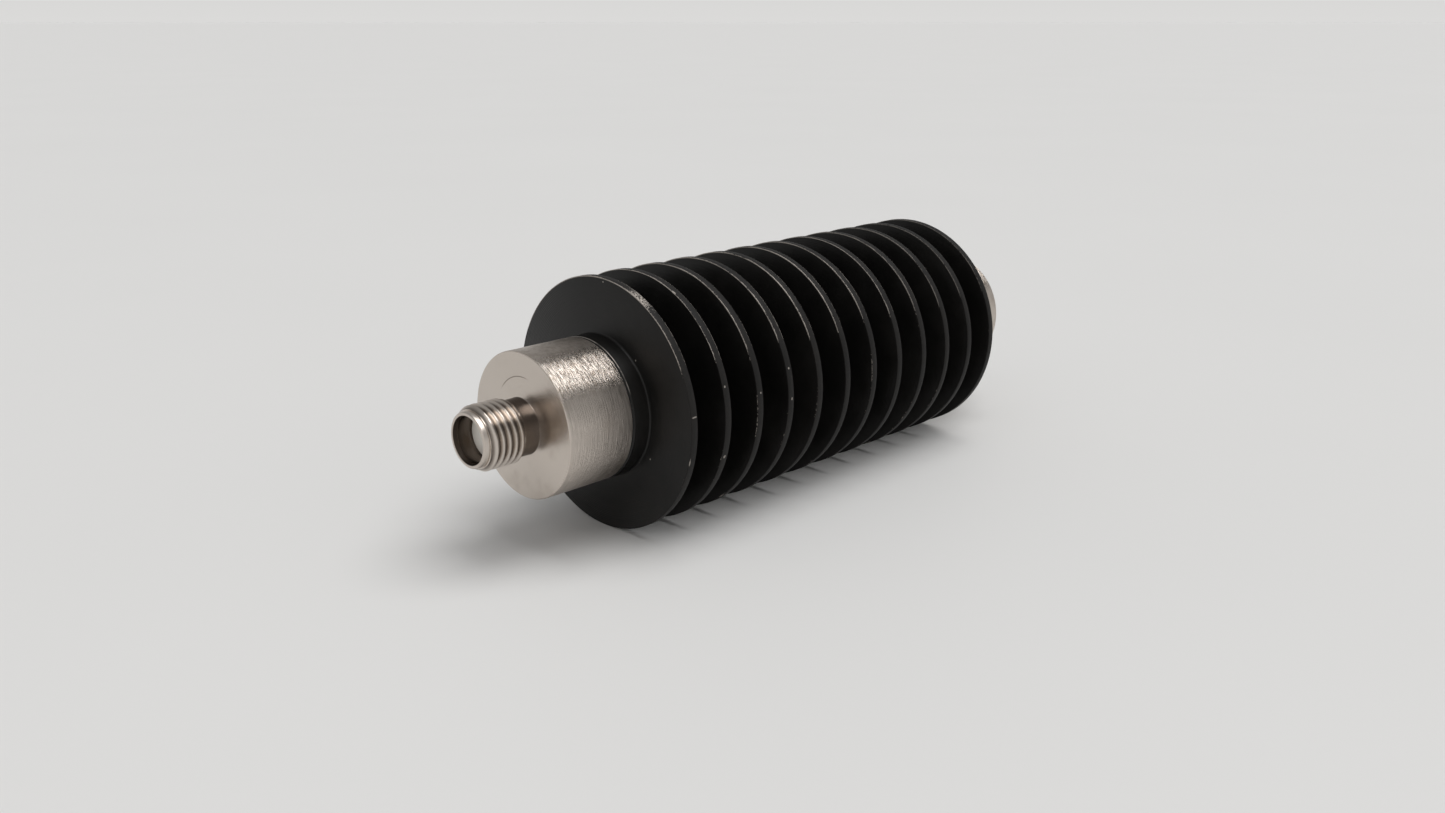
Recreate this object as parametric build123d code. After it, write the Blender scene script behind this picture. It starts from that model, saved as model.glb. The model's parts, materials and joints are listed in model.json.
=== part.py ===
from build123d import *
import os

# Coaxial attenuator lying on its fins. The axis runs along X, with the near jack at -X.
# The origin is on the resting surface, under the middle of the heat sink.
# Lengths are in millimetres. "Out" is the distance from the middle plane towards either end.

# Heat sink: round fins on a tube, with a collar on each end fin as wide as the end body that sits on it
fin_diameter = 25.4
fin_count = 12
fin_thickness = 0.8
fin_span = 50.0
fin_edge = 0.08
tube_diameter = 15.2
collar_length = 2.2
collar_wall = 0.6
collar_edge = 0.3
collar_root_radius = 0.2

# End bodies: stainless, each turned in one piece with its jack barrel
body_diameter = 14.2
body_reach = 7.45
body_edge = 0.15
barrel_length = 6.05
spigot_length = 3.0
shank_diameter = 11.0
shank_length = 5.0
shank_edge = 0.4
thread_runout = 1.0

# Jack interface, quarter-inch thread size
thread_diameter = 6.24
thread_end = 4.25
thread_chamfer = 0.4
pilot_diameter = 5.3
pilot_length = 0.55
neck_diameter = 5.5
neck_root_radius = 0.2
mouth_diameter = 4.6
mouth_depth = 1.93
mouth_edge = 0.12

# Centre line of each jack
insulator_diameter = 4.13
insulator_length = 6.0
contact_diameter = 1.27
contact_bore = 0.93
contact_bore_depth = 3.0
contact_slot_width = 0.15
contact_slot_length = 2.4
contact_recess = 0.05
contact_edge = 0.08
tail_diameter = 1.0
tail_length = 3.3
bead_diameter = 6.4
bead_thickness = 1.6
bead_hole_diameter = 0.9
bead_hole_circle = 3.8
bead_hole_count = 6
line_bore = 2.92
driver_slot_width = 0.8
driver_slot_depth = 0.8

# Attenuating card and the split carrier that clamps it
carrier_diameter = 10.0
carrier_wall = 2.0
card_grip = 0.8
card_thickness = 0.64
card_end_stop = 1.0
clip_diameter = 1.8
clip_overlap = 1.0
clip_wall = 0.4
clip_slot_play = 0.6
dowel_diameter = 0.9
dowel_length = 3.6
dowel_spacing = 18.0
dowel_inset = 1.15

# Springs and seals
spring_thickness = 0.25
spring_height = 0.6
spring_outside = 9.2
spring_inside = 5.4
seal_groove_width = 1.3
seal_groove_depth = 0.75

# Clearances on the radius, apart from the card's height and the stops, which are whole gaps
spigot_clearance = 0.1
shank_clearance = 0.03
carrier_clearance = 0.03
insulator_clearance = 0.015
contact_clearance = 0.015
bead_clearance = 0.02
seal_clearance = 0.01
card_clearance = 0.04
dowel_clearance = 0.01
stop_gap = 0.02

# Places along the axis, as distances out from the middle plane
fin_face_out = fin_span / 2
collar_out = fin_face_out + collar_length
body_face_out = collar_out + body_reach
front_out = body_face_out + barrel_length
reference_out = front_out - mouth_depth
insulator_in = reference_out - insulator_length
bead_in = insulator_in - bead_thickness
spigot_in = collar_out - spigot_length
seat_floor_out = spigot_in - stop_gap
shank_in = spigot_in - shank_length
carrier_out = shank_in - spring_height
card_out = carrier_out - card_end_stop
clip_in = card_out - clip_overlap
tail_in = card_out + clip_slot_play + clip_wall
tail_out = tail_in + tail_length
seal_middle = collar_out - spigot_length / 2

axis_height = fin_diameter / 2
seat_diameter = body_diameter - 2 * collar_wall
spigot_diameter = seat_diameter - 2 * spigot_clearance
fin_pitch = (fin_span - fin_thickness) / (fin_count - 1)
parting_height = card_thickness / 2
card_width = carrier_diameter - 2 * carrier_wall
channel_diameter = card_width - 2 * card_grip
dowel_side = carrier_diameter / 2 - dowel_inset

# Ways a box is set against its place
outward = (Align.MIN, Align.CENTER, Align.CENTER)
inward = (Align.MAX, Align.CENTER, Align.CENTER)
upward = (Align.CENTER, Align.CENTER, Align.MIN)
downward = (Align.CENTER, Align.CENTER, Align.MAX)


def turned(*section):
    """Solid of revolution about X from a closed section of (out, radius) points."""
    outline = Polyline(*section, close=True)
    return revolve(make_face(outline), Axis.X, 360)


def broken_corner(out, radius, size):
    """Two section points that break the outer corner of a face."""
    return [(out, radius - size), (out - size, radius)]


def ring_edges(solid, out, diameter):
    """The round edges of one diameter that lie at one distance out."""
    found = solid.edges().filter_by(GeomType.CIRCLE)
    found = found.filter_by(lambda e: abs(e.radius - diameter / 2) < 1e-3)
    return found.filter_by(lambda e: abs(abs(e.arc_center.X) - out) < 1e-3)


def heat_sink():
    tube = tube_diameter / 2
    collar = body_diameter / 2
    rim = fin_diameter / 2
    seat = seat_diameter / 2
    thread = shank_diameter / 2 + shank_clearance
    bore = carrier_diameter / 2 + carrier_clearance
    runout = shank_in - thread_runout
    section = [(-collar_out, seat), (-collar_out, collar - collar_edge), (-collar_out + collar_edge, collar)]
    for i in range(fin_count):
        front = -fin_face_out + i * fin_pitch
        back = front + fin_thickness
        front_root = collar if i == 0 else tube
        back_root = collar if i == fin_count - 1 else tube
        section += [(front, front_root), (front, rim - fin_edge), (front + fin_edge, rim)]
        section += [(back - fin_edge, rim), (back, rim - fin_edge), (back, back_root)]
    section += [*reversed(broken_corner(collar_out, collar, collar_edge)), (collar_out, seat)]
    section += [(seat_floor_out, seat), (seat_floor_out, thread), (runout, thread), (runout, bore)]
    section += [(-runout, bore), (-runout, thread), (-seat_floor_out, thread), (-seat_floor_out, seat)]
    sink = turned(*section)
    return fillet(ring_edges(sink, fin_face_out, body_diameter), collar_root_radius)


def end_body():
    groove_out = seal_middle + seal_groove_width / 2
    groove_in = seal_middle - seal_groove_width / 2
    spigot = spigot_diameter / 2
    groove = spigot - seal_groove_depth
    neck = neck_diameter / 2
    thread = thread_diameter / 2
    pilot = pilot_diameter / 2
    lead_out = front_out - pilot_length
    mouth = mouth_diameter / 2
    section = [(front_out, mouth + mouth_edge), *broken_corner(front_out, pilot, mouth_edge)]
    section += [(lead_out, pilot), (lead_out, thread - thread_chamfer), (lead_out - thread_chamfer, thread)]
    section += [(front_out - thread_end + thread_chamfer, thread), (front_out - thread_end, neck)]
    section += [(body_face_out, neck), *broken_corner(body_face_out, body_diameter / 2, body_edge)]
    section += [(collar_out, body_diameter / 2), (collar_out, spigot)]
    section += [(groove_out, spigot), (groove_out, groove), (groove_in, groove), (groove_in, spigot)]
    section += [(spigot_in, spigot), (spigot_in, shank_diameter / 2)]
    section += [(shank_in + shank_edge, shank_diameter / 2), (shank_in, shank_diameter / 2 - shank_edge)]
    section += [(shank_in, bead_diameter / 2), (insulator_in, bead_diameter / 2)]
    section += [(insulator_in, insulator_diameter / 2 + insulator_clearance)]
    section += [(reference_out, insulator_diameter / 2 + insulator_clearance), (reference_out, mouth)]
    section += [(front_out - mouth_edge, mouth)]
    body = turned(*section)
    return fillet(ring_edges(body, body_face_out, neck_diameter), neck_root_radius)


def insulator():
    outer = insulator_diameter / 2
    inner = contact_diameter / 2 + contact_clearance
    front_face = [(reference_out, inner), (reference_out, outer)]
    return turned(*front_face, (insulator_in, outer), (insulator_in, inner))


def centre_contact():
    front = reference_out - contact_recess
    outer = contact_diameter / 2
    tail = tail_diameter / 2
    bore_in = front - contact_bore_depth
    drill_in = bore_in - contact_bore / 2
    section = [(front, contact_bore / 2 + contact_edge), *broken_corner(front, outer, contact_edge)]
    section += [(insulator_in, outer), (insulator_in, tail), (bead_in, tail), (bead_in, outer)]
    section += [(tail_out, outer), (tail_out, tail), (tail_in, tail), (tail_in, 0)]
    section += [(drill_in, 0), (bore_in, contact_bore / 2), (front - contact_edge, contact_bore / 2)]
    contact = turned(*section)
    slot = Box(contact_slot_length, contact_slot_width, contact_diameter * 2, align=inward)
    for turn in (45, 135):
        contact -= Pos(front, 0, 0) * Rot(turn, 0, 0) * slot
    return contact


def support_bead():
    outer = bead_diameter / 2 - bead_clearance
    inner = tail_diameter / 2 + contact_clearance
    bead = turned((insulator_in, inner), (insulator_in, outer), (bead_in, outer), (bead_in, inner))
    hole = Rot(0, 90, 0) * Cylinder(bead_hole_diameter / 2, bead_thickness * 3)
    hole = Pos((insulator_in + bead_in) / 2, 0, bead_hole_circle / 2) * hole
    for i in range(bead_hole_count):
        bead -= Rot(360 * i / bead_hole_count, 0, 0) * hole
    return bead


def line_sleeve():
    outer = bead_diameter / 2 - bead_clearance
    front = bead_in - stop_gap
    sleeve = turned((front, line_bore / 2), (front, outer), (shank_in, outer), (shank_in, line_bore / 2))
    slot = Box(driver_slot_depth, bead_diameter * 2, driver_slot_width, align=outward)
    return sleeve - Pos(shank_in, 0, 0) * slot


def card_clip():
    outer = clip_diameter / 2
    bore = tail_diameter / 2 + contact_clearance
    slot_out = card_out + clip_slot_play
    clip_out = tail_out - stop_gap
    bore_in = tail_in - stop_gap
    section = [(clip_out, bore), (clip_out, outer), (clip_in, outer), (clip_in, 0)]
    section += [(bore_in, 0), (bore_in, bore)]
    clip = turned(*section)
    gap = card_thickness + card_clearance
    mouth = Box(slot_out - clip_in, clip_diameter * 2, gap, align=outward)
    return clip - Pos(clip_in, 0, 0) * mouth


def disc_spring():
    outer = spring_outside / 2
    inner = spring_inside / 2
    high = shank_in - stop_gap
    low = carrier_out + stop_gap
    inner_edge = [(high, inner), (high - spring_thickness, inner)]
    return turned(*inner_edge, (low, outer), (low + spring_thickness, outer))


def seal_ring():
    floor = spigot_diameter / 2 - seal_groove_depth
    wall = seat_diameter / 2
    section_radius = (wall - floor) / 2 - seal_clearance
    ring_face = make_face(CenterArc((seal_middle, (wall + floor) / 2), section_radius, 0, 360))
    return revolve(ring_face, Axis.X, 360)


def attenuator_card():
    return Box(2 * card_out, card_width, card_thickness)


def dowel_place(end):
    """The dowels stand on opposite sides of the card, one towards each end."""
    return Pos(end * dowel_spacing / 2, end * dowel_side, parting_height)


def carrier_bar():
    bar = Rot(0, 90, 0) * Cylinder(carrier_diameter / 2, 2 * carrier_out)
    bar -= Rot(0, 90, 0) * Cylinder(channel_diameter / 2, 4 * carrier_out)
    hole = Cylinder(dowel_diameter / 2 + dowel_clearance, dowel_length + stop_gap)
    for end in (-1, 1):
        bar -= dowel_place(end) * hole
    return bar


def lower_carrier():
    below = Box(4 * carrier_out, 2 * carrier_diameter, carrier_diameter, align=downward)
    half = carrier_bar() & Pos(0, 0, parting_height) * below
    seat_length = 2 * (card_out + card_clearance)
    seat_width = card_width + 2 * card_clearance
    seat = Box(seat_length, seat_width, carrier_diameter, align=upward)
    return half - Pos(0, 0, -parting_height) * seat


def upper_carrier():
    above = Box(4 * carrier_out, 2 * carrier_diameter, carrier_diameter, align=upward)
    return carrier_bar() & Pos(0, 0, parting_height + stop_gap) * above


def carrier_dowel(end):
    return dowel_place(end) * Cylinder(dowel_diameter / 2, dowel_length)


def save(name, solid, turn=0):
    """Lifts a piece from the axis to its height above the floor and writes it."""
    export_step(Pos(0, 0, axis_height) * Rot(0, 0, turn) * solid, f"parts/{name}.step")


os.makedirs("parts", exist_ok=True)

save("heat_sink", heat_sink())
save("attenuator_card", attenuator_card())
save("lower_carrier", lower_carrier())
save("upper_carrier", upper_carrier())
save("front_dowel", carrier_dowel(-1))
save("rear_dowel", carrier_dowel(1))

end_pieces = {
    "jack_body": end_body(),
    "insulator": insulator(),
    "centre_contact": centre_contact(),
    "support_bead": support_bead(),
    "line_sleeve": line_sleeve(),
    "card_clip": card_clip(),
    "disc_spring": disc_spring(),
    "seal_ring": seal_ring(),
}
for piece, solid in end_pieces.items():
    save(f"input_{piece}", solid, 180)
    save(f"output_{piece}", solid)
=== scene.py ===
import json
import math

import bpy
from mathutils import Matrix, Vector


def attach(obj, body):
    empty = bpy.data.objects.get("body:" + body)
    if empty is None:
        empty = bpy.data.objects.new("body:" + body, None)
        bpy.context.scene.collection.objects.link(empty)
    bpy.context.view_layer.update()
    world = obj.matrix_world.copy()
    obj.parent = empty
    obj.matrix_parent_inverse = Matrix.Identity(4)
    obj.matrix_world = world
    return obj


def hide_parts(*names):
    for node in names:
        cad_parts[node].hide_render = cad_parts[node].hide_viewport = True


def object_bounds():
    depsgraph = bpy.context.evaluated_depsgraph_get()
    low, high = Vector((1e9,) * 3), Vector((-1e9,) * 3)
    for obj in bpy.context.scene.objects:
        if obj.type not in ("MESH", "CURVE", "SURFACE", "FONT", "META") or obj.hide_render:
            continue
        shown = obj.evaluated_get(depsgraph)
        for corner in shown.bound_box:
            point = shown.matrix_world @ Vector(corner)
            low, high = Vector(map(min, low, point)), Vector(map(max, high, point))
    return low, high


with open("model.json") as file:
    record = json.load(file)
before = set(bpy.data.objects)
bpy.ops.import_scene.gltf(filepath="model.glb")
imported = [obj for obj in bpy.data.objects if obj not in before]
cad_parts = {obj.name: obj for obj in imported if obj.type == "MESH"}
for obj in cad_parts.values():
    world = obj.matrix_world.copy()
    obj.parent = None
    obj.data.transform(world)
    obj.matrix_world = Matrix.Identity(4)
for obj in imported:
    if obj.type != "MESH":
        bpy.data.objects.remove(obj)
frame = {"nodes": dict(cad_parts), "record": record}
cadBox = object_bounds()
nodes = frame["nodes"]
bpy.ops.object.select_all(action="DESELECT")

mm = 0.001
turn = 2 * math.pi
axisHeight = (cadBox[1].z - cadBox[0].z) / 2        # the axis lies this high above the floor
frontOut = cadBox[1].x        # "out" is the distance from the middle towards either end
touching = 0.0004 * mm        # vertices nearer than this are merged
sharpest = math.radians(28)        # edges that turn by more than this stay sharp
print("frame loaded:", len(nodes), "nodes")


# Turned pieces: a profile is drawn point by point, its corners are rounded, then it is spun round the axis

def selectOnly(piece):
    bpy.ops.object.select_all(action="DESELECT")
    piece.select_set(True)
    bpy.context.view_layer.objects.active = piece


def startProfile(name, out, radius):
    # a single vertex, from which the profile is drawn
    bpy.ops.object.select_all(action="DESELECT")
    bpy.ops.mesh.primitive_plane_add(size=mm, location=(0, 0, axisHeight))
    piece = bpy.context.active_object
    piece.name = name
    piece.data.name = name
    bpy.ops.object.mode_set(mode="EDIT")
    bpy.ops.mesh.select_mode(type="VERT")
    bpy.ops.mesh.merge(type="CENTER")
    bpy.ops.transform.translate(value=(out, 0, radius))
    return piece


def drawProfile(points):
    for here, there in zip(points, points[1:]):
        step = (there[0] - here[0], 0, there[1] - here[1])
        bpy.ops.mesh.extrude_region_move(TRANSFORM_OT_translate={"value": step})


def placeOf(piece, vertex):
    # a vertex's distance out and its radius round the piece's axis
    return vertex.co.x, math.hypot(vertex.co.y, vertex.co.z + piece.location.z - axisHeight)


def selectOpenEdges(piece, lowest, highest):
    # picks the open edges between two distances out
    bpy.ops.object.mode_set(mode="EDIT")
    bpy.ops.mesh.select_mode(type="EDGE")
    bpy.ops.mesh.select_all(action="DESELECT")
    bpy.ops.mesh.select_non_manifold(extend=False, use_wire=False, use_boundary=True,
                                     use_multi_face=False, use_non_contiguous=False, use_verts=False)
    bpy.ops.object.mode_set(mode="OBJECT")
    for edge in piece.data.edges:
        if edge.select:
            ends = [piece.data.vertices[i].co.x for i in edge.vertices]
            edge.select = lowest < min(ends) and max(ends) < highest
    bpy.ops.object.mode_set(mode="EDIT")


def selectPlaces(piece, places):
    # picks the vertices that lie at any of the (out, radius) places
    near = 0.003 * mm
    bpy.ops.object.mode_set(mode="EDIT")
    bpy.ops.mesh.select_mode(type="VERT")
    bpy.ops.mesh.select_all(action="DESELECT")
    bpy.ops.object.mode_set(mode="OBJECT")
    for vertex in piece.data.vertices:
        out, radius = placeOf(piece, vertex)
        vertex.select = any(abs(out - x) < near and abs(radius - r) < near for x, r in places)
    bpy.ops.object.mode_set(mode="EDIT")


def finishMesh(piece):
    bpy.ops.object.mode_set(mode="EDIT")
    bpy.ops.mesh.select_all(action="SELECT")
    bpy.ops.mesh.remove_doubles(threshold=touching)
    bpy.ops.mesh.normals_make_consistent(inside=False)
    bpy.ops.object.mode_set(mode="OBJECT")
    selectOnly(piece)
    bpy.ops.object.transform_apply(location=True, rotation=True, scale=True)
    bpy.ops.object.shade_smooth_by_angle(angle=sharpest)


def lathe(name, points, steps):
    # points are (out, radius), or (out, radius, size, cuts) where the corner is rounded
    piece = startProfile(name, *points[0][:2])
    drawProfile([*points, points[0]])
    corners = {}
    for corner in points:
        if len(corner) > 2:
            corners.setdefault(corner[2:], []).append(corner[:2])
    bpy.ops.mesh.select_all(action="SELECT")
    bpy.ops.mesh.remove_doubles(threshold=touching)
    for (size, cuts), places in corners.items():
        selectPlaces(piece, places)
        bpy.ops.mesh.bevel(offset=size, segments=cuts, affect="VERTICES")
    bpy.ops.mesh.select_all(action="SELECT")
    bpy.ops.mesh.spin(steps=steps, angle=turn, center=(0, 0, axisHeight), axis=(1, 0, 0))
    finishMesh(piece)
    return piece


def withRoundings(points):
    # swaps each square corner (out, radius, size, cuts) for the points of its quarter round
    path = []
    for i, corner in enumerate(points):
        if len(corner) == 2:
            path.append(corner)
            continue
        at, size, cuts = Vector(corner[:2]), corner[2], corner[3]
        fromLast = (Vector(points[i - 1][:2]) - at).normalized() * size
        toNext = (Vector(points[i + 1][:2]) - at).normalized() * size
        for step in range(cuts + 1):
            swing = math.pi / 2 * step / cuts
            path.append(tuple(at + fromLast * (1 - math.sin(swing)) + toNext * (1 - math.cos(swing))))
    return path


def turnOn(points):
    # carries the selected ring on through (out, radius) places, rounding the corners that say so
    points = withRoundings(points)
    for here, there in zip(points, points[1:]):
        bpy.ops.mesh.extrude_region_move(TRANSFORM_OT_translate={"value": (there[0] - here[0], 0, 0)})
        grow = there[1] / here[1]
        if grow != 1:
            bpy.ops.transform.resize(value=(1, grow, grow), center_override=(there[0], 0, axisHeight))


def copyToOtherEnd(piece, name):
    # the same piece with a mesh of its own, turned half round about the upright axis
    selectOnly(piece)
    bpy.ops.object.duplicate(linked=False)
    twin = bpy.context.active_object
    twin.name = name
    twin.data.name = name
    twin.rotation_euler.z = math.pi
    bpy.ops.object.transform_apply(location=False, rotation=True, scale=False)
    return twin


def seat(piece, node, slot):
    # the piece stands for that node and takes the finish of that slot
    piece.data.materials.clear()
    piece.data.materials.append(finishes[slot])
    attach(piece, "root")
    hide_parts(node)


# Shader sums

class Signal:
    # one output of a node, which can be used in a sum
    def __init__(self, sheet, socket):
        self.sheet = sheet
        self.socket = socket

    def __add__(self, other):
        return self.sheet.sum("ADD", self, other)

    def __radd__(self, other):
        return self.sheet.sum("ADD", other, self)

    def __sub__(self, other):
        return self.sheet.sum("SUBTRACT", self, other)

    def __rsub__(self, other):
        return self.sheet.sum("SUBTRACT", other, self)

    def __mul__(self, other):
        return self.sheet.sum("MULTIPLY", self, other)

    def __rmul__(self, other):
        return self.sheet.sum("MULTIPLY", other, self)

    def __gt__(self, other):
        return self.sheet.sum("GREATER_THAN", self, other)

    def __lt__(self, other):
        return self.sheet.sum("LESS_THAN", self, other)

    def size(self):
        return self.sheet.sum("ABSOLUTE", self)

    def smaller(self, other):
        return self.sheet.sum("MINIMUM", self, other)

    def larger(self, other):
        return self.sheet.sum("MAXIMUM", self, other)


class Finish:
    # one material and the nodes in it
    def __init__(self, name, **constants):
        self.material = bpy.data.materials.new(name)
        self.material.use_nodes = True
        self.tree = self.material.node_tree
        self.surface = self.tree.nodes["Principled BSDF"]
        for socket, value in constants.items():
            self.surface.inputs[socket].default_value = value
        self.place = self.node("ShaderNodeTexCoord", {}, {}, "Object")
        split = self.node("ShaderNodeSeparateXYZ", {}, {0: self.place}).socket.node
        self.out = Signal(self, split.outputs[0])
        self.side = Signal(self, split.outputs[1])
        self.above = Signal(self, split.outputs[2]) - axisHeight
        self.radius = self.distance(self.side, self.above)
        # nought at the top, less than nought towards the camera, with its seam underneath
        self.angle = self.sum("ARCTAN2", self.side, self.above)

    def node(self, kind, settings, inputs, output=0):
        made = self.tree.nodes.new(kind)
        for name, value in settings.items():
            setattr(made, name, value)
        for name, value in inputs.items():
            if isinstance(value, Signal):
                self.tree.links.new(value.socket, made.inputs[name])
            else:
                made.inputs[name].default_value = value
        return Signal(self, made.outputs[output])

    def sum(self, operation, *values):
        return self.node("ShaderNodeMath", {"operation": operation}, dict(enumerate(values)))

    def distance(self, x, y):
        return self.sum("SQRT", x * x + y * y)

    def vector(self, x, y, z):
        return self.node("ShaderNodeCombineXYZ", {}, {0: x, 1: y, 2: z})

    def wrapped(self, stretch, radius):
        # a place on a cylinder of that radius, squeezed along the axis
        across = self.sum("SINE", self.angle) * radius
        upright = self.sum("COSINE", self.angle) * radius
        return self.vector(self.out * stretch, across, upright)

    def noise(self, at, scale, detail=2.0, rough=0.5):
        inputs = {"Vector": at, "Scale": scale, "Detail": detail, "Roughness": rough}
        return self.node("ShaderNodeTexNoise", {}, inputs)

    def between(self, value, low, high):
        # 0 at low, 1 at high, smooth between
        settings = {"interpolation_type": "SMOOTHSTEP"}
        return self.node("ShaderNodeMapRange", settings, {0: value, 1: low, 2: high})

    def specks(self, at, scale, share, reach):
        # 1 inside small round spots, which only that share of the cells has
        cells = self.node("ShaderNodeTexVoronoi", {}, {"Vector": at, "Scale": scale})
        pick = self.node("ShaderNodeTexVoronoi", {}, {"Vector": at, "Scale": scale}, "Color")
        chosen = self.node("ShaderNodeSeparateColor", {}, {0: pick}) < share
        return (cells < reach) * chosen

    def tint(self, factor, under, over):
        return self.node("ShaderNodeMix", {"data_type": "RGBA"}, {0: factor, 6: under, 7: over}, 2)

    def feed(self, socket, value):
        self.tree.links.new(value.socket, self.surface.inputs[socket])

    def bump(self, height, distance, strength, under=None):
        inputs = {"Height": height, "Distance": distance, "Strength": strength}
        if under:
            inputs["Normal"] = under
        return self.node("ShaderNodeBump", {}, inputs)


# Finishes

blackSettings = {
    "base": (0.0048, 0.0044, 0.004, 1), "lighter": (0.0095, 0.0087, 0.008, 1), "roughness": 0.33,
    "reflection": 1.33, "rim": (0.012, 0.0105, 0.0092, 1), "rimRoughness": 0.3,
    # the bright colour below is both metal worn through the black and the colour of painted highlights on the
    # edges
    "bareAndGlint": (0.46, 0.42, 0.38, 1), "dust": (0.3, 0.28, 0.25, 1),
    "rimRadius": 12.62 * mm, "finThickness": 0.8 * mm, "finPitch": 49.2 / 11 * mm, "finFace": 25 * mm,
    "collarLine": 26.9 * mm, "collarRadius": 7.1 * mm,
    # the cutter's marks: how far their noise moves on per radian and their depth; then grooves and dents
    "markPerRadian": 0.4 * mm, "markDepth": 0.02 * mm,
    "groovePitch": 0.19 * mm, "grooveDepth": 0.006 * mm, "dentDepth": 0.03 * mm,
    # the scale of each noise, and the share of its cells that has a speck
    "markScale": 8000, "grooveScale": 90, "cloudScale": 170, "patchScale": 300, "grainScale": 4200,
    "scuffScale": 6500, "nickScale": 330, "dustScale": 520, "speckShare": 0.05,
    # the worn line, partly a painted highlight: its width, how far it runs down from the top, from where and
    # by how much it fades
    "edgeBand": 0.065 * mm, "glintTo": math.radians(62), "fadeFrom": -8 * mm, "fade": 0.7,
    # the scuff on the near rim, and the specks of dust on the near face as mm to the side and above
    "scuffAt": math.radians(-26), "dustAt": ((-0.8, 12.3), (-5.2, 5.4), (-7.0, -4.0)),
    "dustRadius": 0.08 * mm,
    # nicks on the near rims: fin, degrees from the top towards the camera,
    # then in mm the distance behind the fin's face, half the length and half the width
    "nicks": ((1, 27, 0.08, 0.3, 0.1), (0, 84, 0.4, 0.07, 0.32),
              (1, 107, 0.4, 0.16, 0.16), (1, 75, 0.3, 0.12, 0.1),
              (2, 82, 0.5, 0.12, 0.1), (3, 75, 0.4, 0.12, 0.1),
              (3, 89, 0.5, 0.14, 0.09), (0, 104, 0.1, 0.4, 0.07)),
}


def blackAnodised():
    s = blackSettings
    f = Finish("blackAnodised", Metallic=0.0, IOR=s["reflection"])
    out, radius, angle = f.out, f.radius, f.angle
    # cutter marks run round the piece, on the faces and on the rims alike
    marks = f.noise(f.vector(out, radius, angle * s["markPerRadian"]), s["markScale"], 3, 0.6)
    grooved = f.between(f.noise(f.place, s["grooveScale"], 2), 0.5, 0.7)
    grooves = f.sum("SINE", radius * (turn / s["groovePitch"])) * grooved
    cloud = f.noise(f.place, s["cloudScale"], 3, 0.6)
    base = f.tint(f.between(cloud, 0.35, 0.75), s["base"], s["lighter"])
    along = f.sum("FLOORED_MODULO", out + s["finFace"], s["finPitch"])
    corner = along.smaller((along - s["finThickness"]).size())
    onRim = f.between(radius, s["rimRadius"] - 0.05 * mm, s["rimRadius"] + 0.03 * mm)
    patchy = f.noise(f.wrapped(2, 9 * mm), s["patchScale"], 4, 0.65)
    fine = f.noise(f.place, s["grainScale"], 2, 0.6)
    f.feed("Roughness", s["roughness"] + onRim * s["rimRoughness"]
           + (cloud - 0.5) * 0.2 + (marks - 0.5) * 0.1)
    # the rims are dull, and along the upper half their corners carry a thin bright line, partly worn through
    # the black and partly a painted highlight
    base = f.tint(onRim * f.between(patchy * 0.6 + fine * 0.4, 0.4, 0.7), base, s["rim"])
    upper = f.between(angle.size(), s["glintTo"] + 0.12, s["glintTo"] - 0.05)
    lineWidth = s["edgeBand"] * (upper * 1.2 - 0.5 + (patchy - 0.5) * 3.5 + (fine - 0.5) * 2)
    # painted fall-off of light: the worn lines and nicks are dimmed towards the far fins
    fading = 1 - f.between(out, s["fadeFrom"], s["finFace"]) * s["fade"]
    wornAndGlint = (corner < lineWidth) * onRim * fading
    # the near rim is scuffed bright in one place
    scuff = f.between((angle - s["scuffAt"]).size(), 0.22, 0.04)
    scuff = scuff * (out < s["finThickness"] - s["finFace"]) * onRim
    scuff = f.between(scuff * 0.2 + f.noise(f.place, s["scuffScale"], 2, 0.7), 0.62, 0.74) * scuff
    # nicks, a few of them anywhere and the others where the photograph has them
    nicks = f.specks(f.place, s["nickScale"], s["speckShare"], 0.09) * onRim * fading * 0.5
    for fin, degrees, behind, length, width in s["nicks"]:
        nickOut = fin * s["finPitch"] + behind * mm - s["finFace"]
        acrossRim = (out - nickOut) * (1 / (width * mm))
        aroundRim = (angle + math.radians(degrees)) * (s["rimRadius"] / (length * mm))
        away = f.distance(acrossRim, aroundRim) + (fine - 0.5) * 1.5
        nicks = nicks.larger(f.between(away, 1.1, 0.7) * onRim)
    # a painted glint along the collar's front edge, on its upper half
    onCollar = f.between(radius, s["collarRadius"] - 0.12 * mm, s["collarRadius"] - 0.05 * mm)
    onCollar = onCollar * (radius < s["collarRadius"] + 0.1 * mm)
    collarEdge = f.between((out.size() - s["collarLine"]).size(), 0.05 * mm, 0.02 * mm)
    collarEdge = collarEdge * onCollar * upper * f.between(patchy, 0.4, 0.55) * 0.6
    # the worn lines, nicks and scuff take the bright tint together with the painted highlight on the rims'
    # corners and the painted glint on the collar's edge
    rubbedAndGlint = (wornAndGlint * 0.85).larger(nicks * 0.7).larger(scuff).larger(collarEdge)
    base = f.tint(rubbedAndGlint, base, s["bareAndGlint"])
    dust = f.specks(f.place, s["dustScale"], s["speckShare"], 0.045)
    onNearFace = (out + s["finFace"]).size() < 0.05 * mm
    for side, above in s["dustAt"]:
        spot = f.distance(f.side - side * mm, f.above - above * mm) < s["dustRadius"]
        dust = dust.larger(spot * onNearFace)
    f.feed("Base Color", f.tint(dust * 0.8, base, s["dust"]))
    f.feed("Metallic", rubbedAndGlint * 0.8)
    dented = f.bump(patchy * onRim + nicks * -2, s["dentDepth"], 0.5)
    f.feed("Normal", f.bump(grooves, s["grooveDepth"], 0.7, f.bump(marks, s["markDepth"], 0.7, dented)))
    return f.material


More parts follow.
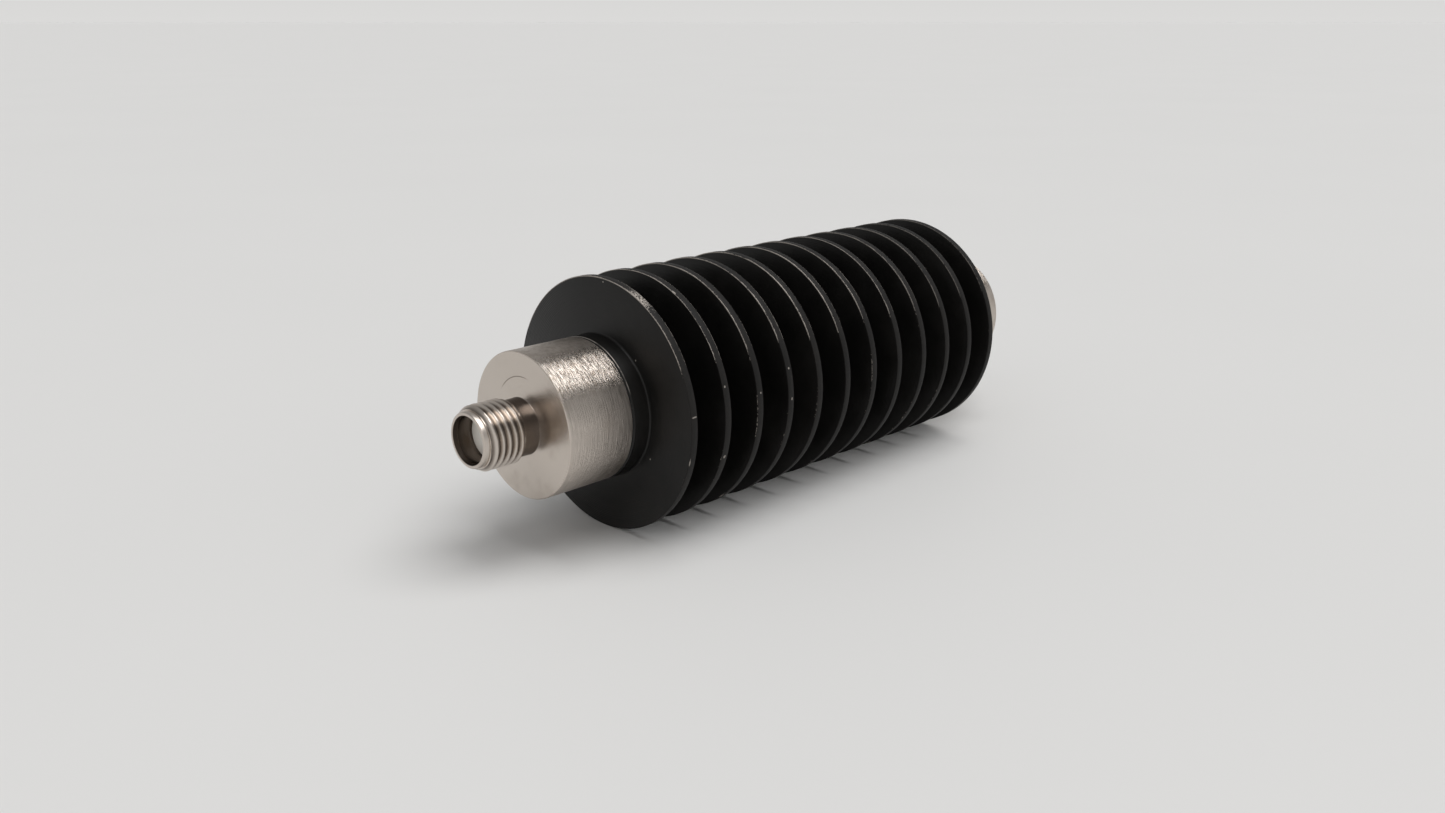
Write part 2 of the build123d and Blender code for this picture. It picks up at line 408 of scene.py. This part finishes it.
steelSettings = {
    # the last colour below serves for painted shade in the hollows and for the curved mark on the face
    "base": (0.6, 0.54, 0.485, 1), "darker": (0.36, 0.3, 0.25, 1), "shadeAndMark": (0.11, 0.085, 0.068, 1),
    "roughness": 0.22,
    "bodyRadius": 7.1 * mm, "bodyFace": 34.65 * mm, "neckRadius": 2.75 * mm, "crestRadius": 3.12 * mm,
    "threadEnd": 36.2 * mm, "mouthRadius": 2.33 * mm, "lipIn": 0.6 * mm, "frontOut": 40.69 * mm,
    # angles from the top: the middle of the bright band, and where the painted shade along the top ends and
    # where it is full
    "brightAt": math.radians(38), "topEnds": math.radians(26), "topFull": math.radians(10),
    # how far the rings' noise moves on per radian, and the depths of the dashes and the rings
    "ringPerRadian": 0.1 * mm, "dashDepth": 0.016 * mm, "ringDepth": 0.07 * mm,
    # the scale of each noise
    "dashScale": 1700, "ringScale": 20000, "cloudScale": 260, "grainScale": 5000,
    "blotchScale": 2300, "grimeScale": 420,
    # the curved mark on the near face: its radius, its middle, half its width, and its two faded ends
    "arcRadius": 3.98 * mm, "arcSide": -0.384 * mm, "arcAbove": 0.809 * mm, "arcWidth": 0.07 * mm,
    "arcFrom": (math.radians(30), math.radians(48)), "arcTo": (math.radians(108), math.radians(88)),
}


def stainless():
    s = steelSettings
    f = Finish("stainless", Metallic=1.0)
    out, radius, angle = f.out, f.radius, f.angle
    onBody = f.between(radius, s["bodyRadius"] - 0.08 * mm, s["bodyRadius"] - 0.02 * mm)
    onThread = out.size() > s["threadEnd"]
    lipStart = s["frontOut"] - s["lipIn"]
    # turning leaves short dashes round the body, and rings on every surface
    dashes = f.noise(f.wrapped(4, s["bodyRadius"]), s["dashScale"], 2, 0.6)
    rings = f.noise(f.vector(out, radius, angle * s["ringPerRadian"]), s["ringScale"], 2, 0.5)
    cloud = f.noise(f.place, s["cloudScale"], 4, 0.6)
    # painted highlight and shade: the dashes are tinted darker within the bright band, where glints would
    # show, and faintly elsewhere; the rest is smoother and duller
    brightBand = f.between((angle.size() - s["brightAt"]).size(), 0.5, 0.2)
    streaksAndGlints = f.between(dashes, 0.47, 0.6) * (0.05 + 0.85 * brightBand)
    marked = onBody * (0.2 + 0.8 * brightBand)
    lip = f.between(out.size(), lipStart, s["frontOut"] - 0.4 * mm)
    fine = f.noise(f.place, s["grainScale"], 2, 0.6)
    dull = onBody * (1 - brightBand) * 0.13 + lip * fine * 0.25
    f.feed("Roughness", s["roughness"] + (cloud - 0.5) * 0.14 + marked * (dashes - 0.5) * 0.2 + dull)
    # painted shade: the top is tinted darker, with blotches in it
    onTop = f.between(angle.size(), s["topEnds"], s["topFull"]) * onBody
    blotches = f.between(f.noise(f.place, s["blotchScale"], 3, 0.6), 0.42, 0.66)
    # random grime, with the painted streaks and the painted shade on the top added to it
    grimeAndShade = f.between(f.noise(f.place, s["grimeScale"], 3, 0.5), 0.52, 0.8) * 0.4 + onBody * streaksAndGlints
    grimeAndShade = grimeAndShade + onTop * (0.08 + blotches * 0.5)
    base = f.tint(grimeAndShade.smaller(1.0), s["base"], s["darker"])
    # painted shade between the thread's turns, round the neck and inside the mouth
    valley = f.between(radius, s["crestRadius"] - 0.08 * mm, s["neckRadius"] + 0.03 * mm)
    valley = valley * onThread * (out.size() < lipStart)
    mouth = f.between(radius, s["mouthRadius"] + 0.03 * mm, s["mouthRadius"])
    mouth = mouth * (out.size() < s["frontOut"])
    neck = f.between(radius, s["neckRadius"] + 0.1 * mm, s["neckRadius"] + 0.02 * mm)
    neck = neck * (out.size() < s["threadEnd"]) * (out.size() > s["bodyFace"] + 0.02 * mm)
    base = f.tint((valley * 0.75).larger(mouth * 0.8).larger(neck * 0.88), base, s["shadeAndMark"])
    # a fine curved mark on the near body's face
    fromSide, fromAbove = f.side - s["arcSide"], f.above - s["arcAbove"]
    offRing = (f.distance(fromSide, fromAbove) - s["arcRadius"]).size()
    direction = f.sum("ARCTAN2", fromAbove, fromSide)
    span = f.between(direction, *s["arcFrom"]) * f.between(direction, *s["arcTo"])
    mark = f.between(offRing, s["arcWidth"], s["arcWidth"] * 0.3) * span
    mark = mark * (out < 0.05 * mm - s["bodyFace"])
    f.feed("Base Color", f.tint(mark * 0.7, base, s["shadeAndMark"]))
    # the rings spread the light along the body, as turned metal does
    streaked = f.bump(dashes * marked, s["dashDepth"], 0.8)
    depth = onBody * (0.58 + 0.35 * brightBand) + 0.07
    f.feed("Normal", f.bump(rings * depth, s["ringDepth"], 1.0, streaked))
    return f.material


# Finishes that hardly show

grainDepth = 0.004 * mm


def plainFinish(name, base, other, roughness, scale):
    # a quiet finish that wanders between two close colours, with a fine grain
    f = Finish(name, Metallic=0.0)
    cloud = f.noise(f.place, scale, 4, 0.6)
    grain = f.noise(f.place, scale * 9, 2, 0.6)
    f.feed("Base Color", f.tint(f.between(cloud, 0.3, 0.7), base, other))
    f.feed("Roughness", roughness + (cloud - 0.5) * 0.2 + (grain - 0.5) * 0.1)
    f.feed("Normal", f.bump(grain, grainDepth, 0.5))
    return f.material


def turnedFinish(name, base, other, roughness):
    # a metal with fine marks round the axis
    f = Finish(name, Metallic=1.0)
    rings = f.noise(f.vector(f.out, f.radius, f.angle * (0.3 * mm)), 8000, 3, 0.6)
    cloud = f.noise(f.place, 500, 3, 0.6)
    f.feed("Base Color", f.tint(f.between(cloud, 0.3, 0.75), base, other))
    f.feed("Roughness", roughness + (cloud - 0.5) * 0.2 + (rings - 0.5) * 0.15)
    f.feed("Normal", f.bump(rings, grainDepth, 0.5))
    return f.material


cardSettings = {
    "ceramic": (0.84, 0.83, 0.79, 1), "film": (0.055, 0.05, 0.05, 1), "silver": (0.7, 0.69, 0.66, 1),
    "halfLength": 17.6 * mm, "halfWidth": 3.0 * mm, "halfThickness": 0.32 * mm,
    "endStrip": 1.2 * mm, "edgeStrip": 0.7 * mm, "waver": 0.06 * mm,
}


def printedCard():
    # a ceramic card with a dark film down its upper face, silver at its ends and long edges
    s = cardSettings
    f = Finish("cardCeramic", Metallic=0.0)
    grain = f.noise(f.place, 2600, 3, 0.6)
    far = f.out.size() + (grain - 0.5) * s["waver"]
    wide = f.side.size() + (grain - 0.5) * s["waver"]
    onTop = f.above > s["halfThickness"] - 0.02 * mm
    strip = (far > s["halfLength"] - s["endStrip"]).larger(wide > s["halfWidth"] - s["edgeStrip"])
    film = (1 - strip) * onTop
    f.feed("Base Color", f.tint(strip, f.tint(film, s["ceramic"], s["film"]), s["silver"]))
    f.feed("Metallic", strip)
    f.feed("Roughness", 0.55 - strip * 0.2 + (grain - 0.5) * 0.2)
    f.feed("Normal", f.bump(grain, grainDepth, 0.5))
    return f.material


finishes = {
    "black_anodised": blackAnodised(),
    "stainless": stainless(),
    "white_dielectric": plainFinish("whiteDielectric", (0.86, 0.83, 0.77, 1), (0.8, 0.76, 0.7, 1), 0.38, 500),
    "gold_plate": turnedFinish("goldPlate", (0.83, 0.61, 0.27, 1), (0.74, 0.52, 0.22, 1), 0.24),
    "amber_bead": plainFinish("amberBead", (0.6, 0.34, 0.1, 1), (0.5, 0.27, 0.08, 1), 0.3, 600),
    "plain_brass": turnedFinish("plainBrass", (0.7, 0.53, 0.26, 1), (0.6, 0.44, 0.21, 1), 0.3),
    "spring_steel": turnedFinish("springSteel", (0.42, 0.42, 0.43, 1), (0.33, 0.33, 0.34, 1), 0.34),
    "seal_rubber": plainFinish("sealRubber", (0.028, 0.028, 0.028, 1), (0.045, 0.044, 0.043, 1), 0.5, 900),
    "card_ceramic": printedCard(),
    "silver_plate": turnedFinish("silverPlate", (0.76, 0.75, 0.72, 1), (0.66, 0.64, 0.6, 1), 0.28),
}
print("finishes ready:", len(finishes))


# Heat sink: twelve round fins on a tube that ends in a collar

heatSinkSizes = {
    "finDiameter": 25.4 * mm, "finCount": 12, "finThickness": 0.8 * mm, "finSpan": 50 * mm,
    "finEdge": 0.07 * mm, "finRoot": 0.3 * mm, "tubeDiameter": 15.2 * mm, "collarDiameter": 14.2 * mm,
    "collarOut": 27.2 * mm, "collarEdge": 0.3 * mm, "collarCorner": 0.05 * mm, "collarRoot": 0.2 * mm,
    "seatDiameter": 13.0 * mm, "seatOut": 24.18 * mm, "threadDiameter": 11.06 * mm, "threadIn": 18.2 * mm,
    "boreDiameter": 10.06 * mm, "steps": 192,
}


def makeHeatSink():
    s = heatSinkSizes
    tube, rim, collar = s["tubeDiameter"] / 2, s["finDiameter"] / 2, s["collarDiameter"] / 2
    seatRadius, threadRadius = s["seatDiameter"] / 2, s["threadDiameter"] / 2
    boreRadius = s["boreDiameter"] / 2
    pitch = (s["finSpan"] - s["finThickness"]) / (s["finCount"] - 1)
    corner = (s["collarCorner"], 2)
    chamferOut, chamferRadius = s["collarOut"] - s["collarEdge"], collar - s["collarEdge"]
    # an end fin stands on the collar on its outer side, all others on the tube
    feet = [(tube, s["finRoot"], 3)] * (2 * s["finCount"])
    feet[0] = feet[-1] = (collar, s["collarRoot"], 4)
    points = [(-s["collarOut"], seatRadius), (-s["collarOut"], chamferRadius, *corner)]
    points += [(-chamferOut, collar, *corner)]
    for i in range(s["finCount"]):
        front = -s["finSpan"] / 2 + i * pitch
        back = front + s["finThickness"]
        points += [(front, *feet[2 * i]), (front, rim, s["finEdge"], 2)]
        points += [(back, rim, s["finEdge"], 2), (back, *feet[2 * i + 1])]
    points += [(chamferOut, collar, *corner), (s["collarOut"], chamferRadius, *corner)]
    points += [(s["collarOut"], seatRadius), (s["seatOut"], seatRadius), (s["seatOut"], threadRadius)]
    points += [(s["threadIn"], threadRadius), (s["threadIn"], boreRadius)]
    points += [(-s["threadIn"], boreRadius), (-s["threadIn"], threadRadius)]
    points += [(-s["seatOut"], threadRadius), (-s["seatOut"], seatRadius)]
    return lathe("heatSink", points, s["steps"])


seat(makeHeatSink(), "heat_sink", "black_anodised")
print("heat sink made")


# Jack bodies: the thread is drawn first as one ridge and wound, then the rest is turned on from its ends

jackSizes = {
    "pitch": 25.4 / 36 * mm, "crestRadius": 3.12 * mm, "rootRadius": 2.75 * mm, "crestFlat": 0.1 * mm,
    "flankAngle": math.radians(30), "leadOut": 40.15 * mm, "threadEnd": 36.3 * mm, "leadSlope": 1.0,
    "endSlope": 1.6, "pilotRadius": 2.65 * mm, "pilotEdge": 0.17 * mm, "mouthRadius": 2.3 * mm,
    "mouthEdge": 0.06 * mm, "mouthRoot": 0.04 * mm, "referenceOut": 38.77 * mm, "insulatorRadius": 2.08 * mm,
    "insulatorMiddle": 36 * mm, "insulatorIn": 32.77 * mm, "beadRadius": 3.2 * mm, "bodyFace": 34.65 * mm,
    "bodyRadius": 7.1 * mm, "bodyEdge": 0.14 * mm, "neckRoot": 0.06 * mm, "shoulderOut": 27.2 * mm,
    "shoulderEdge": 0.04 * mm, "spigotRadius": 6.4 * mm, "spigotIn": 24.2 * mm, "grooveOut": 26.35 * mm,
    "grooveIn": 25.05 * mm, "grooveRadius": 5.65 * mm, "shankRadius": 5.5 * mm, "shankEdge": 0.4 * mm,
    "shankIn": 19.2 * mm, "lastStrip": 0.5 * mm, "near": 0.01 * mm, "steps": 160, "rows": 3,
}


def windThread(s):
    # one ridge is wound well past both ends, then cut off square and turned down to its root there
    flank = (s["crestRadius"] - s["rootRadius"]) * math.tan(s["flankAngle"])
    rootFlat = (s["pitch"] - s["crestFlat"] - 2 * flank) / 2
    start = s["threadEnd"] - 1.5 * s["pitch"]
    ridge = [(start, s["rootRadius"])]
    for step, radius in ((rootFlat, "rootRadius"), (flank, "crestRadius"), (s["crestFlat"], "crestRadius"),
                         (flank, "rootRadius"), (rootFlat, "rootRadius")):
        ridge.append((ridge[-1][0] + step, s[radius]))
    piece = startProfile("outputJackBody", *ridge[0])
    drawProfile(ridge)
    bpy.ops.mesh.select_all(action="SELECT")
    bpy.ops.mesh.subdivide(number_cuts=s["rows"])
    bpy.ops.object.mode_set(mode="OBJECT")
    screw = piece.modifiers.new("winding", "SCREW")
    screw.axis = "X"
    screw.angle = turn
    screw.screw_offset = s["pitch"]
    screw.iterations = math.ceil((s["leadOut"] - s["threadEnd"]) / s["pitch"]) + 3
    screw.steps = screw.render_steps = s["steps"]
    bpy.ops.object.modifier_apply(modifier=screw.name)
    bpy.ops.object.mode_set(mode="EDIT")
    bpy.ops.mesh.select_all(action="SELECT")
    bpy.ops.mesh.remove_doubles(threshold=touching)
    for cutOut, outwards in ((s["leadOut"], 1), (s["threadEnd"], -1)):
        bpy.ops.mesh.select_all(action="SELECT")
        bpy.ops.mesh.bisect(plane_co=(cutOut, 0, 0), plane_no=(outwards, 0, 0),
                            clear_outer=True, threshold=1e-8)
    bpy.ops.object.mode_set(mode="OBJECT")
    for vertex in piece.data.vertices:
        out, radius = placeOf(piece, vertex)
        lead = s["rootRadius"] + (s["leadOut"] - out) * s["leadSlope"]
        end = s["rootRadius"] + (out - s["threadEnd"]) * s["endSlope"]
        shrink = min(max(radius, s["rootRadius"]), lead, end) / radius
        vertex.co.y *= shrink
        vertex.co.z *= shrink
    return piece


def makeJackBody():
    s = jackSizes
    piece = windThread(s)
    # the two ways round end a little apart inside the bore, and the last strip joins them
    frontMeets = (s["insulatorMiddle"], s["insulatorRadius"])
    backMeets = (s["insulatorMiddle"] - s["lastStrip"], s["insulatorRadius"])
    selectOpenEdges(piece, s["leadOut"] - s["near"], frontOut)
    turnOn([(s["leadOut"], s["rootRadius"]), (s["leadOut"], s["pilotRadius"]),
            (frontOut, s["pilotRadius"], s["pilotEdge"], 3), (frontOut, s["mouthRadius"], s["mouthEdge"], 3),
            (s["referenceOut"], s["mouthRadius"], s["mouthRoot"], 2),
            (s["referenceOut"], s["insulatorRadius"]), frontMeets])
    selectOpenEdges(piece, s["threadEnd"] - s["near"], s["threadEnd"] + s["near"])
    turnOn([(s["threadEnd"], s["rootRadius"]), (s["bodyFace"], s["rootRadius"], s["neckRoot"], 2),
            (s["bodyFace"], s["bodyRadius"], s["bodyEdge"], 4),
            (s["shoulderOut"], s["bodyRadius"], s["shoulderEdge"], 2), (s["shoulderOut"], s["spigotRadius"]),
            (s["grooveOut"], s["spigotRadius"]), (s["grooveOut"], s["grooveRadius"]),
            (s["grooveIn"], s["grooveRadius"]), (s["grooveIn"], s["spigotRadius"]),
            (s["spigotIn"], s["spigotRadius"]), (s["spigotIn"], s["shankRadius"]),
            (s["shankIn"], s["shankRadius"], s["shankEdge"], 2), (s["shankIn"], s["beadRadius"]),
            (s["insulatorIn"], s["beadRadius"]), (s["insulatorIn"], s["insulatorRadius"]), backMeets])
    selectOpenEdges(piece, 0, frontOut)
    bpy.ops.mesh.bridge_edge_loops()
    finishMesh(piece)
    return piece


jackBody = makeJackBody()
seat(copyToOtherEnd(jackBody, "inputJackBody"), "input_jack_body", "stainless")
seat(jackBody, "output_jack_body", "stainless")
print("jack bodies made")


# Insulators and centre contacts, which show in the mouths

centreSizes = {
    "insulatorOut": 38.77 * mm, "insulatorIn": 32.77 * mm, "insulatorRadius": 2.065 * mm,
    "holeRadius": 0.65 * mm, "insulatorEdge": 0.05 * mm, "contactOut": 38.72 * mm,
    "contactRadius": 0.635 * mm, "contactEdge": 0.08 * mm, "socketRadius": 0.465 * mm,
    "socketEdge": 0.06 * mm, "socketIn": 35.72 * mm, "drillIn": 35.255 * mm,
    "tailRadius": 0.5 * mm, "beadIn": 31.17 * mm, "tailOut": 21.9 * mm, "tailIn": 18.6 * mm,
    "slotWidth": 0.15 * mm, "slotLength": 2.4 * mm, "insulatorSteps": 128, "contactSteps": 72,
}


def makeInsulator():
    s = centreSizes
    corner = (s["insulatorEdge"], 2)
    points = [(s["insulatorOut"], s["holeRadius"], *corner),
              (s["insulatorOut"], s["insulatorRadius"], *corner),
              (s["insulatorIn"], s["insulatorRadius"], *corner), (s["insulatorIn"], s["holeRadius"])]
    return lathe("outputInsulator", points, s["insulatorSteps"])


def makeContact():
    s = centreSizes
    points = [(s["contactOut"], s["socketRadius"], s["socketEdge"], 2),
              (s["contactOut"], s["contactRadius"], s["contactEdge"], 3),
              (s["insulatorIn"], s["contactRadius"]), (s["insulatorIn"], s["tailRadius"]),
              (s["beadIn"], s["tailRadius"]), (s["beadIn"], s["contactRadius"]),
              (s["tailOut"], s["contactRadius"]), (s["tailOut"], s["tailRadius"]),
              (s["tailIn"], s["tailRadius"]), (s["tailIn"], 0), (s["drillIn"], 0),
              (s["socketIn"], s["socketRadius"])]
    piece = lathe("outputCentreContact", points, s["contactSteps"])
    # two saw cuts across the tip leave four springy fingers
    blade = (2 * s["slotLength"], s["slotWidth"], 4 * s["contactRadius"])
    for degrees in (45, 135):
        bpy.ops.object.select_all(action="DESELECT")
        bpy.ops.mesh.primitive_cube_add(size=1, location=(s["contactOut"], 0, axisHeight),
                                        rotation=(math.radians(degrees), 0, 0), scale=blade)
        saw = bpy.context.active_object
        bpy.context.view_layer.objects.active = piece
        cut = piece.modifiers.new("sawCut", "BOOLEAN")
        cut.operation = "DIFFERENCE"
        cut.solver = "EXACT"
        cut.object = saw
        bpy.ops.object.modifier_apply(modifier=cut.name)
        bpy.data.objects.remove(saw)
    finishMesh(piece)
    return piece


for make, node, slot in ((makeInsulator, "insulator", "white_dielectric"),
                         (makeContact, "centre_contact", "gold_plate")):
    piece = make()
    twin = copyToOtherEnd(piece, piece.name.replace("output", "input"))
    seat(piece, f"output_{node}", slot)
    seat(twin, f"input_{node}", slot)
print("insulators and contacts made")


# The inner pieces keep their solids and get their finish

for row in frame["record"]["subparts"]:
    node = nodes[row["node"]]
    node.data.materials.clear()
    node.data.materials.append(finishes[row["material_slot"]])
print("inner pieces finished")


# Floor, light and camera

stageSettings = {
    "floorSize": 60.0, "floor": (0.74, 0.735, 0.725, 1), "floorShade": (0.72, 0.715, 0.705, 1),
    "floorScale": 12,
    # soft light from overhead, a little to the camera's right, and a weaker one from its left
    "keyFrom": Vector((0.2, -0.27, 1)), "keyStrength": 1.95, "keyWidth": math.radians(48),
    "fillFrom": Vector((-1, -0.25, 0.7)), "fillStrength": 0.3, "fillWidth": math.radians(50),
    "horizon": (0.705, 0.7, 0.69, 1), "overhead": (0.31, 0.31, 0.31, 1), "horizonTop": 0.5,
}


def layFloor():
    s = stageSettings
    bpy.ops.object.select_all(action="DESELECT")
    bpy.ops.mesh.primitive_plane_add(size=s["floorSize"], location=(0, 0, cadBox[0].z))
    floor = bpy.context.active_object
    floor.name = "floor"
    f = Finish("paleFloor", Roughness=0.6)
    f.feed("Base Color", f.tint(f.noise(f.place, s["floorScale"], 2), s["floor"], s["floorShade"]))
    floor.data.materials.append(f.material)


def hangLight(name):
    s = stageSettings
    bpy.ops.object.light_add(type="SUN", location=s[name + "From"])
    light = bpy.context.active_object
    light.name = name + "Light"
    light.data.energy = s[name + "Strength"]
    light.data.angle = s[name + "Width"]
    light.rotation_euler = (-s[name + "From"]).to_track_quat("-Z", "Y").to_euler()


def lightRoom():
    s = stageSettings
    hangLight("key")
    hangLight("fill")
    world = bpy.data.worlds.new("studio")
    bpy.context.scene.world = world
    world.use_nodes = True
    tree = world.node_tree
    background = tree.nodes["Background"]
    look = tree.nodes.new("ShaderNodeTexCoord")
    split = tree.nodes.new("ShaderNodeSeparateXYZ")
    ramp = tree.nodes.new("ShaderNodeValToRGB")
    ramp.color_ramp.elements[0].color = s["horizon"]
    ramp.color_ramp.elements[1].color = s["overhead"]
    ramp.color_ramp.elements[1].position = s["horizonTop"]
    tree.links.new(look.outputs["Generated"], split.inputs[0])
    tree.links.new(split.outputs["Z"], ramp.inputs[0])
    tree.links.new(ramp.outputs[0], background.inputs["Color"])


cameraSettings = {
    # worked out from the outlines of the fins and the mouth in the photograph
    "place": Vector((-101.51, -90.96, 48.80)) * mm,
    "forward": Vector((0.685525, 0.666181, -0.293700)),
    "focalPixels": 1259.95, "framePixels": 1445, "sensor": 36.0, "nearest": 0.005, "farthest": 20,
}


def placeCamera():
    s = cameraSettings
    bpy.ops.object.camera_add(location=s["place"])
    camera = bpy.context.active_object
    camera.name = "camera"
    camera.rotation_euler = s["forward"].to_track_quat("-Z", "Y").to_euler()
    camera.data.sensor_width = s["sensor"]
    camera.data.lens = s["sensor"] * s["focalPixels"] / s["framePixels"]
    camera.data.clip_start = s["nearest"]
    camera.data.clip_end = s["farthest"]
    camera.data.dof.use_dof = False
    bpy.context.scene.camera = camera


layFloor()
lightRoom()
placeCamera()
bpy.context.scene.view_settings.view_transform = "Standard"
print("floor, light and camera ready")
